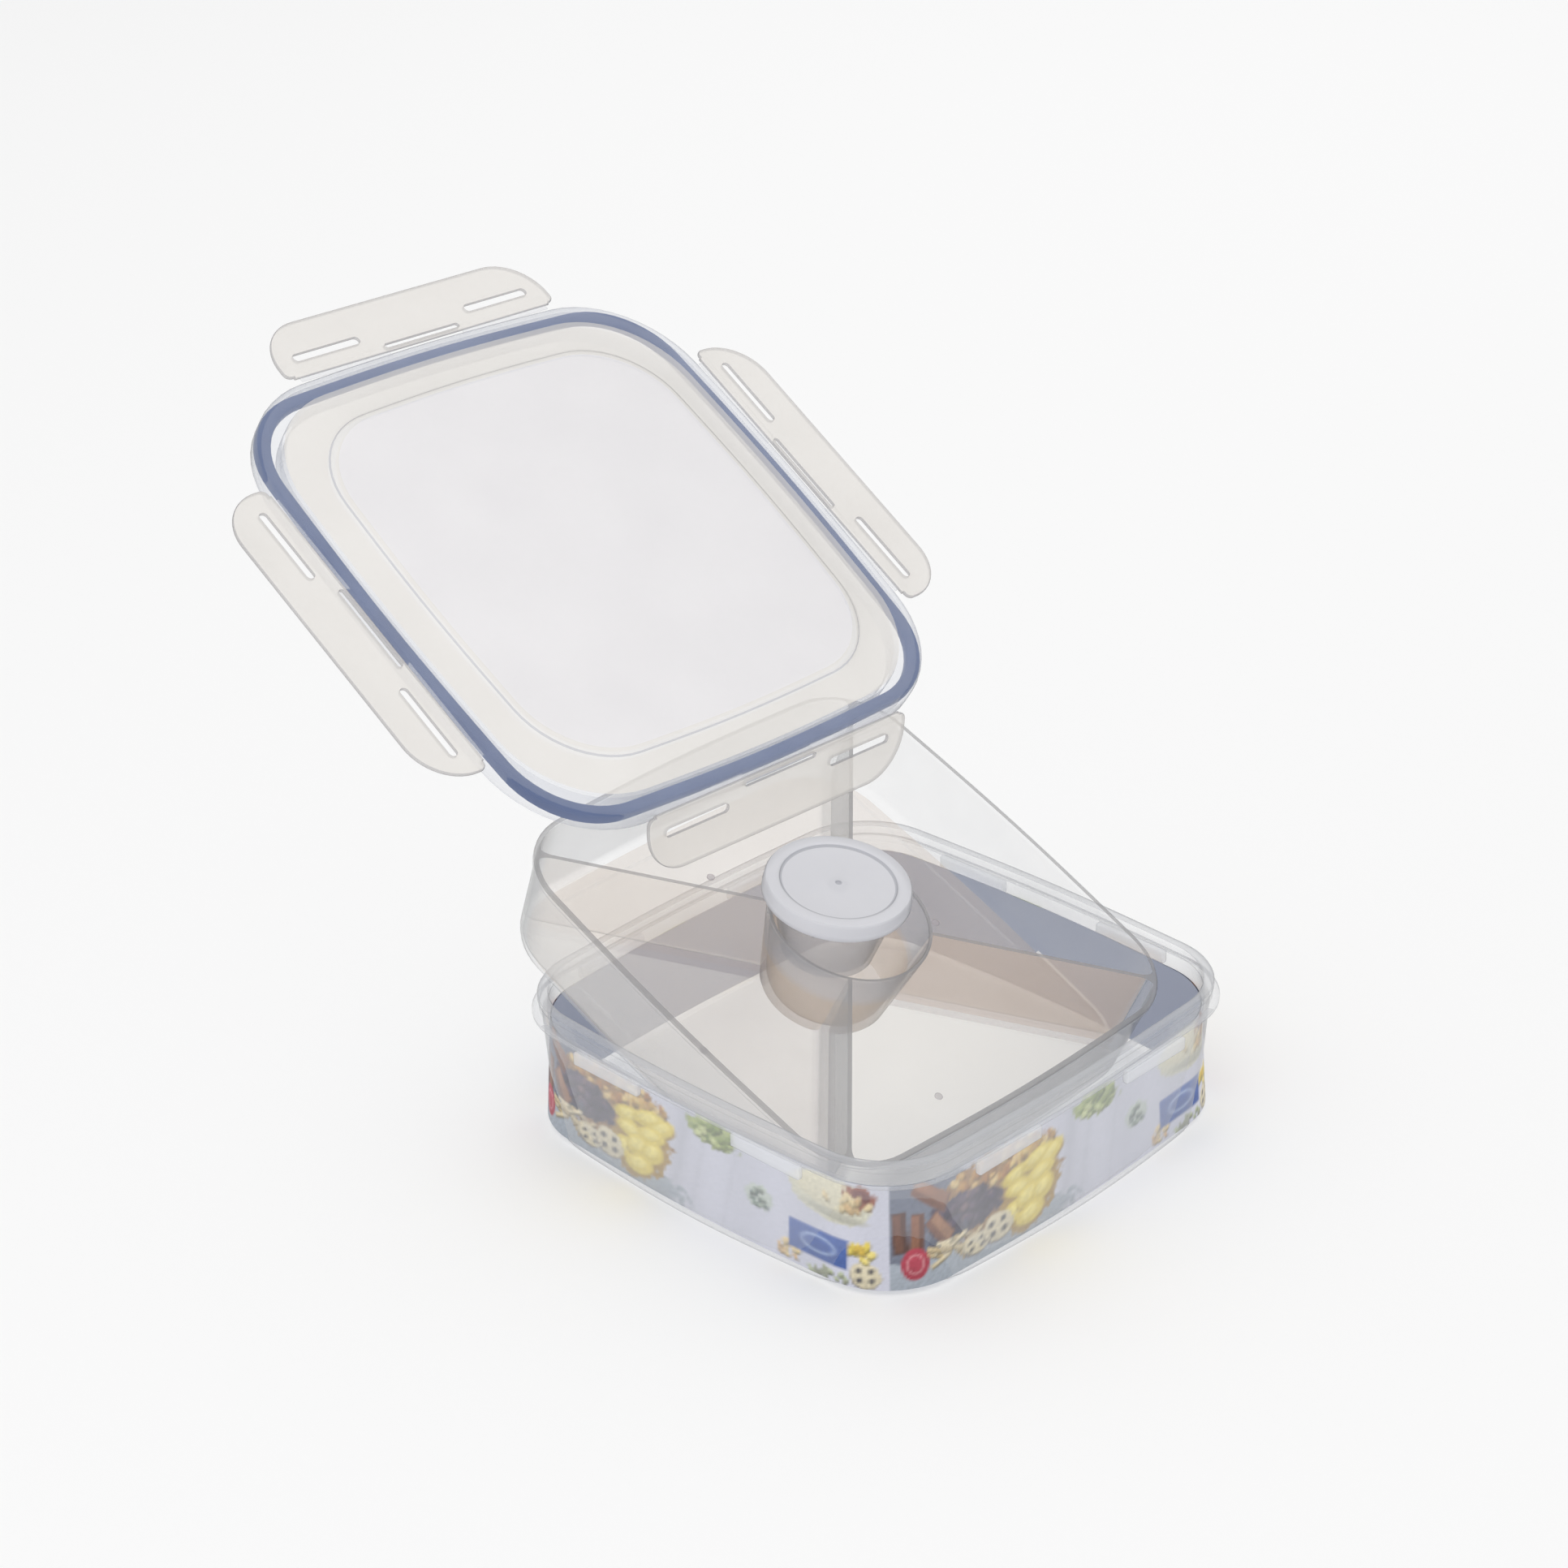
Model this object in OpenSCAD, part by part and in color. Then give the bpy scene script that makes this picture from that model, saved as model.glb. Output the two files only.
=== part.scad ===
// Chip and dip server: a square box with a lift-out divider tray, a dip cup and a lid with locking wings.
// The base of the box is centred on the origin. The tray, the cup and the lid are drawn lifted.

/* [Box] */
// Half of the width across the rim
rim_half = 120; // [110:1:130]
// Corner radius of the rim
rim_corner = 34; // [30:1:38]
// Radius of the slight outward bow of each side at the rim
rim_bow = 1288; // [1000:1:2000]
// Height of the box
box_height = 66; // [60:1:75]
// Half of the width across the base
base_half = 121.9; // [111:0.1:131]
// Corner radius of the base
base_corner = 47; // [40:1:50]
// Radius of the outward bow of each side at the base
base_bow = 806; // [700:1:1500]
// Thickness of the box wall
wall = 1.8; // [1.5:0.1:2.2]

/* [Card sleeve] */
// Height of the top edge of the printed card
sleeve_top = 52.5; // [45:0.5:54]
// Thickness of the card
sleeve_thickness = 0.5; // [0.4:0.1:0.6]

/* [Divider tray] */
// Half of the width across the tray rim
tray_half = 114.5; // [106:0.5:114.5]
// Corner radius of the tray rim
tray_corner = 31; // [28:1:34]
// Depth of the tray
tray_depth = 47; // [42:0.5:48]
// Thickness of the tray walls
tray_wall = 1.5; // [1.3:0.1:1.8]
// Inner radius of the centre well at its mouth
well_top = 36.5; // [36:0.1:38]
// Inner radius of the centre well at its floor
well_floor = 27.5; // [27:0.1:29]

/* [Dip cup] */
// Radius of the cup at its foot
cup_foot = 21; // [19:0.1:21]
// Radius of the cup just under its rim
cup_top = 29; // [27:0.1:29]
// Height of the cup
cup_height = 36; // [32:0.5:38]
// Radius of the press-on cup lid
cup_lid_radius = 33; // [33:0.1:34]

/* [Lid] */
// Depth of the lid skirt
skirt_depth = 10; // [8:0.5:11]
// Length of a locking wing along the lid edge
wing_length = 152; // [140:1:156]
// Width of a locking wing
wing_width = 27; // [24:0.5:28]
// Distance of a locking slot from the middle of its side
slot_place = 48; // [42:1:50]

/* [Arrangement] */
// Tilt of the lifted tray
tray_tilt = 22.8; // [20:0.1:23]
// Tilt of the dip cup
cup_tilt = 12; // [12:0.1:14]
// How far the front wing hangs below the lid
front_wing_angle = 60; // [0:1:70]

/* [Hidden] */
overcut = 1;
skin = 0.5;
round_steps = 96;

// Plan shapes, each as half width, side bow radius and corner radius
rim_shape = [rim_half, rim_bow, rim_corner];
base_shape = [base_half, base_bow, base_corner];
tray_shape = [tray_half, 1500, tray_corner];
lid_shape = [rim_half + 2, rim_bow, rim_corner + 3];

// Levels of the box rim
flange_top = box_height - 8.4;
flange_thickness = 2.1;
flange_overhang = 2.1;
lip_height = 4;
lip_width = 4;
neck_inset = 0.6;
wall_top_inset = 1.5;
floor_round = 2;
sleeve_gap = 0.5;
sleeve_foot = wall + floor_round + 0.6;

// Locking lugs under the flange
lug_size = [40, 6, 6.6];
lug_face = rim_half + 2;

// Divider tray
tray_draft = 3;
tray_rim_height = 3;
well_wall = 1.5;
gate_place = 76;
gate_radius = 2;
gate_height = 0.5;

// Dip cup and its lid
cup_wall = 1.4;
cup_rim_radius = cup_top + 1.6;
cup_rim_height = 2;
fit_gap = 0.4;
cup_lid_skirt = 6;
cup_lid_thickness = 1.4;
cup_lid_recess = 0.8;
cup_lid_ring = 26.5;

// Lid
plate_thickness = 2;
skirt_wall = 2;
panel_inset = 25;
panel_rise = 2;
panel_depth = plate_thickness + overcut;
gasket_inset = 3;
gasket_width = 5.6;
gasket_height = 5;
rib_wall = 1.4;
rib_depth = 11;

// Wings
wing_gap = 1.6;
wing_thickness = 2;
wing_round = 22;
wing_root_round = 4;
slot_size = [36, 4];
slot_from_root = 9;
hinge_slot_size = [42, 2.6];
bead_size = [wing_length - 2 * wing_round, 2, 3];

// Places of the lifted pieces
tray_place = [0, 15, box_height + 26];
cup_place = [-8, 22.3, box_height + 10.1];
lid_place = [-86, 75, box_height + 217];
lid_turn = [31.4, 3.3, 0.8];

// Points of an arc, without its last point
function arc_points(centre, radius, from, to, steps) = [
    for (i = [0:steps - 1])
        let (a = from + (to - from) * i / steps)
            centre + radius * [cos(a), sin(a)]
];

// Outline of a square with bowed sides and round corners, made smaller all round by an inset
function bowed_square(shape, inset = 0) =
    let (
        half = shape[0] - inset,
        bow = shape[1] - inset,
        corner = shape[2] - inset,
        side_centre = half - bow,
        corner_centre = (side_centre + sqrt(2 * pow(bow - corner, 2) - pow(side_centre, 2))) / 2,
        side_angle = atan2(corner_centre, corner_centre - side_centre),
        quarter = concat(
            arc_points([side_centre, 0], bow, -side_angle, side_angle, 6),
            arc_points([corner_centre, corner_centre], corner, side_angle, 90 - side_angle, 8)
        )
    )
    [for (turn = [0:90:270]) each [for (p = quarter)
        [p.x * cos(turn) - p.y * sin(turn), p.x * sin(turn) + p.y * cos(turn)]]];

// Flat slab of a plan shape from one level up to another
module slab(shape, inset, from, to) {
    translate([0, 0, from])
        linear_extrude(to - from)
            polygon(bowed_square(shape, inset));
}

// Upright band of a plan shape
module band(shape, inset, width, from, to) {
    difference() {
        slab(shape, inset, from, to);
        slab(shape, inset + width, from - overcut, to + overcut);
    }
}

// Solid bounded by the box wall, made smaller all round by an inset
module box_core(inset) {
    hull() {
        slab(base_shape, inset + floor_round, inset, inset + skin);
        slab(base_shape, inset, inset + floor_round, inset + floor_round + skin);
        slab(rim_shape, inset + wall_top_inset, flange_top - skin, flange_top);
    }
}

// Box with a flange, a lip and two locking lugs on each side
module container_body() color([0.86, 0.88, 0.90, 0.45]) {
    difference() {
        union() {
            box_core(0);
            slab(rim_shape, -flange_overhang, flange_top - flange_thickness, flange_top);
            slab(rim_shape, neck_inset, flange_top - overcut, box_height - overcut);
            slab(rim_shape, 0, box_height - lip_height, box_height);
            locking_lugs();
        }
        box_core(wall);
        slab(rim_shape, lip_width, flange_top - flange_thickness, box_height + overcut);
    }
}

// Lugs that the lid wings snap over
module locking_lugs() {
    lug_foot = flange_top - flange_thickness - lug_size.z;
    for (turn = [0:90:270], side = [-1, 1])
        rotate([0, 0, turn])
            translate([side * slot_place - lug_size.x / 2, -lug_face, lug_foot])
                cube([lug_size.x, lug_size.y, lug_size.z + overcut]);
}

// Printed card that lines the inside of the box wall
module card_sleeve() color([0.75, 0.75, 0.82]) {
    difference() {
        sleeve_core(0, 0);
        sleeve_core(sleeve_thickness, overcut);
    }
}

// Solid bounded by the sleeve, made smaller all round by an inset and longer at both ends
module sleeve_core(inset, extra) {
    place = wall + sleeve_gap + inset;
    hull() {
        slab(base_shape, place, sleeve_foot - extra, sleeve_foot + overcut);
        slab(rim_shape, place + wall_top_inset, sleeve_top - overcut, sleeve_top + extra);
    }
}

// Solid bounded by the tray wall, made smaller all round by an inset
module tray_core(inset) {
    hull() {
        slab(tray_shape, inset + tray_draft, inset - tray_depth, inset - tray_depth + skin);
        slab(tray_shape, inset + 1, -skin, 0);
    }
}

// Four-pocket tray with a deep round well in its centre; its rim lies at z = 0
module divider_tray_shape() {
    well_height = tray_depth - well_wall;
    difference() {
        union() {
            difference() {
                union() {
                    tray_core(0);
                    slab(tray_shape, 0, -tray_rim_height, 0);
                }
                tray_core(tray_wall);
                slab(tray_shape, 1 + tray_wall, -tray_rim_height, overcut);
            }
            intersection() {
                tray_core(0);
                for (turn = [45, 135])
                    rotate([0, 0, turn])
                        translate([-2 * tray_half, -tray_wall / 2, -tray_depth])
                            cube([4 * tray_half, tray_wall, tray_depth]);
            }
            translate([0, 0, -tray_depth])
                cylinder(tray_depth, well_floor + well_wall, well_top + well_wall, $fn = round_steps);
            for (turn = [0:90:270])
                rotate([0, 0, turn])
                    translate([gate_place, 0, tray_wall - tray_depth - overcut])
                        cylinder(h = gate_height + overcut, r = gate_radius, $fn = round_steps);
        }
        translate([0, 0, -well_height])
            cylinder(h = well_height, r1 = well_floor, r2 = well_top, $fn = round_steps);
        translate([0, 0, -skin])
            cylinder(h = overcut, r = well_top, $fn = round_steps);
    }
}

module divider_tray() color([0.83, 0.77, 0.70, 0.6]) place_tray() divider_tray_shape();

// Tapered dip cup that stands on z = 0
module dip_cup() color([0.55, 0.50, 0.48, 0.6]) place_cup() {
    rim_foot = cup_height - cup_rim_height;
    rotate_extrude($fn = round_steps)
        polygon([
            [0, 0], [cup_foot, 0], [cup_top, rim_foot], [cup_rim_radius, rim_foot],
            [cup_rim_radius, cup_height], [cup_top - cup_wall, cup_height],
            [cup_foot - cup_wall, cup_wall], [0, cup_wall]
        ]);
}

// Press-on lid of the dip cup, with a sunk centre
module dip_cup_lid() color([0.84, 0.84, 0.87, 0.9]) place_cup() {
    under = cup_height + fit_gap;
    top = under + cup_lid_thickness + cup_lid_recess;
    skirt_inner = cup_rim_radius + fit_gap;
    rotate_extrude($fn = round_steps)
        polygon([
            [0, under], [skirt_inner, under], [skirt_inner, under - cup_lid_skirt],
            [cup_lid_radius, under - cup_lid_skirt], [cup_lid_radius, top - cup_lid_recess],
            [cup_lid_radius - cup_lid_recess, top], [cup_lid_ring, top],
            [cup_lid_ring - cup_lid_recess, top - cup_lid_recess], [0, top - cup_lid_recess]
        ]);
}

// Lid plate with a raised centre, an outer skirt and an inner rib; its top face lies at z = 0
module lid_panel() color([0.90, 0.90, 0.92, 0.6]) place_lid() {
    rib_inset = gasket_inset + gasket_width + fit_gap;
    difference() {
        union() {
            slab(lid_shape, 0, -plate_thickness, 0);
            slab(lid_shape, panel_inset, -plate_thickness, panel_rise);
        }
        slab(lid_shape, panel_inset + plate_thickness, -panel_depth, panel_rise - plate_thickness);
    }
    band(lid_shape, 0, skirt_wall, -skirt_depth, -plate_thickness);
    band(lid_shape, rib_inset, rib_wall, -rib_depth, -plate_thickness);
}

// Soft sealing ring in the groove between the skirt and the rib
module lid_gasket() color([0.18, 0.28, 0.60]) place_lid()
    band(lid_shape, gasket_inset, gasket_width, -plate_thickness - gasket_height, -plate_thickness);

// Outline of a wing: the hinge line lies along X, and the wing reaches towards -Y
module wing_outline() {
    edge = wing_length / 2;
    polygon(concat(
        arc_points([edge - wing_root_round, -wing_root_round], wing_root_round, 90, 0, 6),
        arc_points([edge - wing_round, wing_round - wing_width], wing_round, 0, -90, 12),
        arc_points([wing_round - edge, wing_round - wing_width], wing_round, -90, -180, 12),
        arc_points([wing_root_round - edge, -wing_root_round], wing_root_round, 180, 90, 6)
    ));
}

// Locking wing with a round hinge edge and two slots that snap over the lugs
module wing() {
    hinge_length = wing_length - 2 * wing_root_round;
    difference() {
        union() {
            translate([0, 0, -wing_thickness / 2])
                linear_extrude(wing_thickness)
                    wing_outline();
            translate([-hinge_length / 2, 0, 0])
                rotate([0, 90, 0])
                    cylinder(h = hinge_length, r = wing_thickness / 2, $fn = round_steps);
            translate([-bead_size.x / 2, -wing_width, -bead_size.z])
                cube(bead_size);
        }
        for (side = [-1, 1])
            translate([side * slot_place, -slot_from_root, 0])
                cube([slot_size.x, slot_size.y, 4 * wing_thickness], center = true);
        translate([0, -wing_root_round / 2, 0])
            cube([hinge_slot_size.x, hinge_slot_size.y, 4 * wing_thickness], center = true);
    }
}

// One wing on its side of the lid, turned down about its hinge line
module lid_wing(turn, angle) color([0.88, 0.88, 0.90, 0.6]) {
    place_lid()
        rotate([0, 0, turn])
            translate([0, -lid_shape[0] - wing_gap, -plate_thickness / 2])
                rotate([angle, 0, 0])
                    wing();
}

module wing_front() lid_wing(0, front_wing_angle);
module wing_right() lid_wing(90, 0);
module wing_back() lid_wing(180, 0);
module wing_left() lid_wing(270, 0);

module place_tray() {
    translate(tray_place) rotate([tray_tilt, 0, 0]) children();
}

module place_cup() {
    translate(cup_place) rotate([cup_tilt, 0, 0]) children();
}

module place_lid() {
    translate(lid_place) rotate(lid_turn) children();
}

container_body();
card_sleeve();
divider_tray();
dip_cup();
dip_cup_lid();
lid_panel();
lid_gasket();
wing_front();
wing_right();
wing_back();
wing_left();
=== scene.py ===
import math
import random

import bmesh
import bpy
from mathutils import Matrix, Vector, noise


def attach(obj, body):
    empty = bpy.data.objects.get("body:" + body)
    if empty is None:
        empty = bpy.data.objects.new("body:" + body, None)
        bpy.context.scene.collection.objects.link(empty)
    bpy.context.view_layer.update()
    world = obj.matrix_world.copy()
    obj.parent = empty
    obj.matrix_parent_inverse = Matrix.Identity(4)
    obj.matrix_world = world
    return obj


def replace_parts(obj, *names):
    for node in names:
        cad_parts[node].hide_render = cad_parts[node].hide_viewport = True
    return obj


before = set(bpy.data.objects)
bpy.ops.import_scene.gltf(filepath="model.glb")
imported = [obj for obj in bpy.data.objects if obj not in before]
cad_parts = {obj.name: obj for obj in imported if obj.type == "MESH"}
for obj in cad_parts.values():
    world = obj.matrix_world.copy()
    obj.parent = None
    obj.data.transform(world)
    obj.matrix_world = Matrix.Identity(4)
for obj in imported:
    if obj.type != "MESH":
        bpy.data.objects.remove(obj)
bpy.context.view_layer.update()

# ---- Studio -----------------------------------------------------------------
# A pale table that runs out to a pale background, under two soft boxes and an even sky.
# The camera looks down at the near corner of the box through a long lens.

MM = 0.001
rim_height = 66 * MM
camera_turn = math.radians(-45.6)
camera_height = math.radians(27.67)
camera_roll = math.radians(-1.14)
camera_offset = Vector((-40.7 * MM, 86.6 * MM, 1.706))

bpy.ops.object.camera_add()
camera = bpy.context.object
camera.data.lens = 88.3
camera.data.clip_end = 100
camera.matrix_world = (
    Matrix.Translation((0, 0, rim_height))
    @ Matrix.Rotation(camera_turn, 4, "Z")
    @ Matrix.Rotation(math.radians(90) - camera_height, 4, "X")
    @ Matrix.Rotation(camera_roll, 4, "Z")
    @ Matrix.Translation(camera_offset)
)
bpy.context.scene.camera = camera
bpy.context.scene.view_settings.view_transform = "Standard"
bpy.context.scene.cycles.transparent_max_bounces = 48


def tint(red, green, blue):
    """Linear colour for a paint named by its 0 to 255 screen values."""
    return tuple(((c / 255 + 0.055) / 1.055) ** 2.4 for c in (red, green, blue))


def shader_of(name):
    """A new node material and its main shader."""
    material = bpy.data.materials.new(name)
    material.use_nodes = True
    return material, material.node_tree.nodes["Principled BSDF"]


bpy.ops.object.select_all(action="DESELECT")
bpy.ops.mesh.primitive_plane_add(size=60)
table_top = bpy.context.object
table_top.name = "table_top"
paper, paper_shader = shader_of("pale_paper")
paper_shader.inputs["Base Color"].default_value = (*tint(247, 247, 247), 1)
paper_shader.inputs["Roughness"].default_value = 0.9
paper_shader.inputs["Specular IOR Level"].default_value = 0.1
table_top.data.materials.append(paper)

sky = bpy.data.worlds.new("studio_sky")
bpy.context.scene.world = sky
sky.use_nodes = True
sky.node_tree.nodes["Background"].inputs["Color"].default_value = (1, 1, 1, 1)
sky.node_tree.nodes["Background"].inputs["Strength"].default_value = 0.88


def soft_box(name, place, size, power):
    """A square area light that faces the box."""
    bpy.ops.object.light_add(type="AREA", location=place)
    light = bpy.context.object
    light.name = name
    light.data.size = size
    light.data.energy = power
    light.rotation_euler = (-Vector(place)).to_track_quat("-Z", "Y").to_euler()


soft_box("key_light", (-1.2, -0.6, 2.2), 1.6, 8.4)
soft_box("fill_light", (1.6, 0.9, 1.8), 1.8, 5.2)

# ---- Box --------------------------------------------------------------------
# The body of the server: one clear polypropylene moulding, square with bowed sides and round corners.
# A flange runs under the lip, and each side has two lugs that the lid's wings snap over.


def edit_new(name):
    """Names the object that was just added, and opens it for editing with all of it selected."""
    piece = bpy.context.object
    piece.name = name
    bpy.ops.object.mode_set(mode="EDIT")
    bpy.ops.mesh.select_all(action="SELECT")
    return piece


def select_where(kind, test):
    """Selects the vertices, edges or faces that pass a test, and nothing else."""
    bpy.ops.mesh.select_mode(type={"verts": "VERT", "edges": "EDGE", "faces": "FACE"}[kind])
    bpy.ops.mesh.select_all(action="DESELECT")
    mesh = bmesh.from_edit_mesh(bpy.context.object.data)
    for element in getattr(mesh, kind):
        element.select_set(test(element))
    mesh.select_flush_mode()
    bmesh.update_edit_mesh(bpy.context.object.data)


def bowed_square(name, half, corner, bow, corner_steps=12, side_steps=15):
    """A flat face: a square with round corners whose sides bow out a little, open for editing."""
    bpy.ops.mesh.primitive_plane_add(size=2)
    piece = edit_new(name)
    bpy.ops.mesh.bevel(offset=corner / half, offset_pct=0, segments=corner_steps, affect="VERTICES")
    select_where("edges", lambda e: e.calc_length() > 0.8)
    bpy.ops.mesh.subdivide(number_cuts=side_steps)
    bpy.ops.mesh.select_mode(type="VERT")
    bpy.ops.mesh.select_all(action="SELECT")
    bpy.ops.transform.tosphere(value=bow)
    widest = max(v.co.x for v in bmesh.from_edit_mesh(piece.data).verts)
    grow = half / widest
    bpy.ops.transform.resize(value=(grow, grow, 1), center_override=(0, 0, 0))
    return piece


def rings(profile):
    """Draws the selected edge through the rings of a profile, each a half width and a level in millimetres."""
    for (half, level), (next_half, next_level) in zip(profile, profile[1:]):
        rise = (next_level - level) * MM
        grow = next_half / half
        bpy.ops.mesh.extrude_region_move(TRANSFORM_OT_translate={"value": (0, 0, rise)})
        bpy.ops.transform.resize(value=(grow, grow, 1), center_override=(0, 0, 0))


def lift(level):
    """Raises the selection."""
    bpy.ops.transform.translate(value=(0, 0, level * MM))


def join(pieces, name):
    """Joins pieces into one."""
    bpy.ops.object.select_all(action="DESELECT")
    for piece in pieces:
        piece.select_set(True)
    bpy.context.view_layer.objects.active = pieces[0]
    bpy.ops.object.join()
    pieces[0].name = name
    return pieces[0]


def finish_mesh(piece, angle=35, weld=0.01):
    """Welds a mesh, turns its faces outwards and smooths its gentle edges."""
    bpy.ops.object.select_all(action="DESELECT")
    bpy.context.view_layer.objects.active = piece
    piece.select_set(True)
    bpy.ops.object.mode_set(mode="EDIT")
    bpy.ops.mesh.select_all(action="SELECT")
    bpy.ops.mesh.remove_doubles(threshold=weld * MM)
    bpy.ops.mesh.normals_make_consistent(inside=False)
    bpy.ops.object.mode_set(mode="OBJECT")
    bpy.ops.object.shade_smooth_by_angle(angle=math.radians(angle))


def drawn(name, corner, bow, profile, ends="solid"):
    """A bowed square drawn through a profile: a closed solid, a dish that is open at its end, or an open band."""
    half, level = profile[0]
    piece = bowed_square(name, half * MM, corner * MM, bow)
    if ends == "band":
        bpy.ops.mesh.delete(type="ONLY_FACE")
        bpy.ops.mesh.select_all(action="SELECT")
    lift(level)
    rings(profile)
    if ends == "dish":
        bpy.ops.mesh.delete(type="ONLY_FACE")
    bpy.ops.object.mode_set(mode="OBJECT")
    return piece


RIM_SHAPE = (37, 0.1)
BASE_SHAPE = (50, 0.2)
foot_outside = [(118.9, 0), (120.4, 0.4), (121.4, 1.5), (121.9, 3.5)]
foot_inside = [(116.4, 1.8), (118.2, 2.3), (119.6, 3.8), (120, 6)]
rim_profile = [
    (118.6, 55), (121.4, 55.2), (122.1, 55.7), (122.1, 57.1), (121.6, 57.6), (119.6, 57.9),
    (119.3, 58.6), (119.3, 61.4), (119.8, 61.9), (120, 62.6), (120, 64.6), (119.5, 65.6),
    (118.6, 66), (117.2, 66), (116.4, 65.7), (116, 65), (116, 60.6), (116.5, 60), (116.7, 59), (116.8, 56),
]
box_foot = drawn("box", *BASE_SHAPE, foot_outside, "dish")
box_floor = drawn("box_floor", *BASE_SHAPE, foot_inside, "dish")
box_rim = drawn("box_rim", *RIM_SHAPE, rim_profile, "band")
box = join([box_foot, box_floor, box_rim], "box")
bpy.ops.object.mode_set(mode="EDIT")
for foot_end, rim_end in ((3.5, 55), (6, 56)):
    select_where("edges", lambda e: e.is_boundary and min(
        abs(e.verts[0].co.z - foot_end * MM), abs(e.verts[0].co.z - rim_end * MM)) < 0.2 * MM)
    bpy.ops.mesh.bridge_edge_loops(number_cuts=6, interpolation="LINEAR")
bpy.ops.object.mode_set(mode="OBJECT")

lug_length, lug_drop, lug_reach = 40, 6.6, 3.4
lug_offset, lug_middle, lug_top = 48, 119.9, 55.4
lugs = []
for quarter in range(4):
    for side in (-1, 1):
        bpy.ops.mesh.primitive_cube_add(size=1)
        lug = edit_new("lug")
        bpy.ops.transform.resize(value=(lug_length * MM, lug_reach * MM, lug_drop * MM))
        bpy.ops.mesh.bevel(offset=1.1 * MM, offset_pct=0, segments=3, affect="EDGES")
        bpy.ops.object.mode_set(mode="OBJECT")
        reach = Matrix.Translation((side * lug_offset * MM, -lug_middle * MM, (lug_top - lug_drop / 2) * MM))
        lug.data.transform(Matrix.Rotation(math.radians(90 * quarter), 4, "Z") @ reach)
        lugs.append(lug)
box_lugs = join(lugs, "box_lugs")


def clear_plastic(name, colour, haze, edge_haze, roughness, grain=0.0):
    """A thin see-through plastic: nearly clear face on, hazier where it is seen along its surface, and darkened
    there by painted shade.
    """
    material, shader = shader_of(name)
    nodes, links = material.node_tree.nodes, material.node_tree.links
    place = nodes.new("ShaderNodeTexCoord")
    cloud = nodes.new("ShaderNodeTexNoise")
    cloud.inputs["Scale"].default_value = 28
    cloud.inputs["Detail"].default_value = 3
    links.new(place.outputs["Object"], cloud.inputs["Vector"])
    ripple = nodes.new("ShaderNodeTexNoise")
    ripple.inputs["Scale"].default_value = 9
    links.new(place.outputs["Object"], ripple.inputs["Vector"])
    bump = nodes.new("ShaderNodeBump")
    bump.inputs["Strength"].default_value = 0.25
    bump.inputs["Distance"].default_value = 0.002
    links.new(ripple.outputs["Fac"], bump.inputs["Height"])
    links.new(bump.outputs["Normal"], shader.inputs["Normal"])
    edge = nodes.new("ShaderNodeLayerWeight")
    edge.inputs["Blend"].default_value = 0.5
    outline = nodes.new("ShaderNodeMath")
    outline.operation = "POWER"
    outline.inputs[1].default_value = 2.2
    links.new(edge.outputs["Facing"], outline.inputs[0])
    veil = nodes.new("ShaderNodeMapRange")
    veil.inputs["To Min"].default_value = haze
    veil.inputs["To Max"].default_value = edge_haze
    links.new(outline.outputs["Value"], veil.inputs["Value"])
    uneven = nodes.new("ShaderNodeMath")
    uneven.operation = "MULTIPLY_ADD"
    uneven.inputs[1].default_value = 0.12 + grain
    links.new(cloud.outputs["Fac"], uneven.inputs[0])
    links.new(veil.outputs["Result"], uneven.inputs[2])
    centre = nodes.new("ShaderNodeMath")
    centre.operation = "SUBTRACT"
    centre.inputs[1].default_value = 0.06 + grain / 2
    centre.use_clamp = True
    links.new(uneven.outputs["Value"], centre.inputs[0])
    links.new(centre.outputs["Value"], shader.inputs["Alpha"])
    tone = nodes.new("ShaderNodeMix")
    tone.data_type = "RGBA"
    tone.inputs["A"].default_value = (*tint(*colour), 1)
    tone.inputs["B"].default_value = (*tint(*(c * 0.96 for c in colour)), 1)
    links.new(cloud.outputs["Fac"], tone.inputs["Factor"])
    # Painted shade: the colour darkens to about half where the surface is seen edge-on, drawing dark outlines.
    shade = nodes.new("ShaderNodeMix")
    shade.data_type = "RGBA"
    links.new(tone.outputs["Result"], shade.inputs["A"])
    shade.inputs["B"].default_value = (*tint(*(c * 0.52 for c in colour)), 1)
    links.new(outline.outputs["Value"], shade.inputs["Factor"])
    links.new(shade.outputs["Result"], shader.inputs["Base Color"])
    polish = nodes.new("ShaderNodeMapRange")
    polish.inputs["To Min"].default_value = roughness * 0.75
    polish.inputs["To Max"].default_value = roughness * 1.35
    links.new(ripple.outputs["Fac"], polish.inputs["Value"])
    links.new(polish.outputs["Result"], shader.inputs["Roughness"])
    shader.inputs["Specular IOR Level"].default_value = 0.5
    return material


def lets_light_through(piece):
    """Keeps a piece from shading the rest, as the soft even light of a studio does with thin clear plastic."""
    piece.visible_shadow = False
    piece.visible_diffuse = False


def edge_faces(piece, material, test):
    """Gives a second material to the faces that pass a test; in most uses its colour paints the light and shade
    that collect in a moulding's edges and hollows.
    """
    piece.data.materials.append(material)
    slot = len(piece.data.materials) - 1
    for face in piece.data.polygons:
        if test(face):
            face.material_index = slot


box_plastic = clear_plastic("box_polypropylene", (222, 224, 228), 0.08, 0.85, 0.12)
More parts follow.
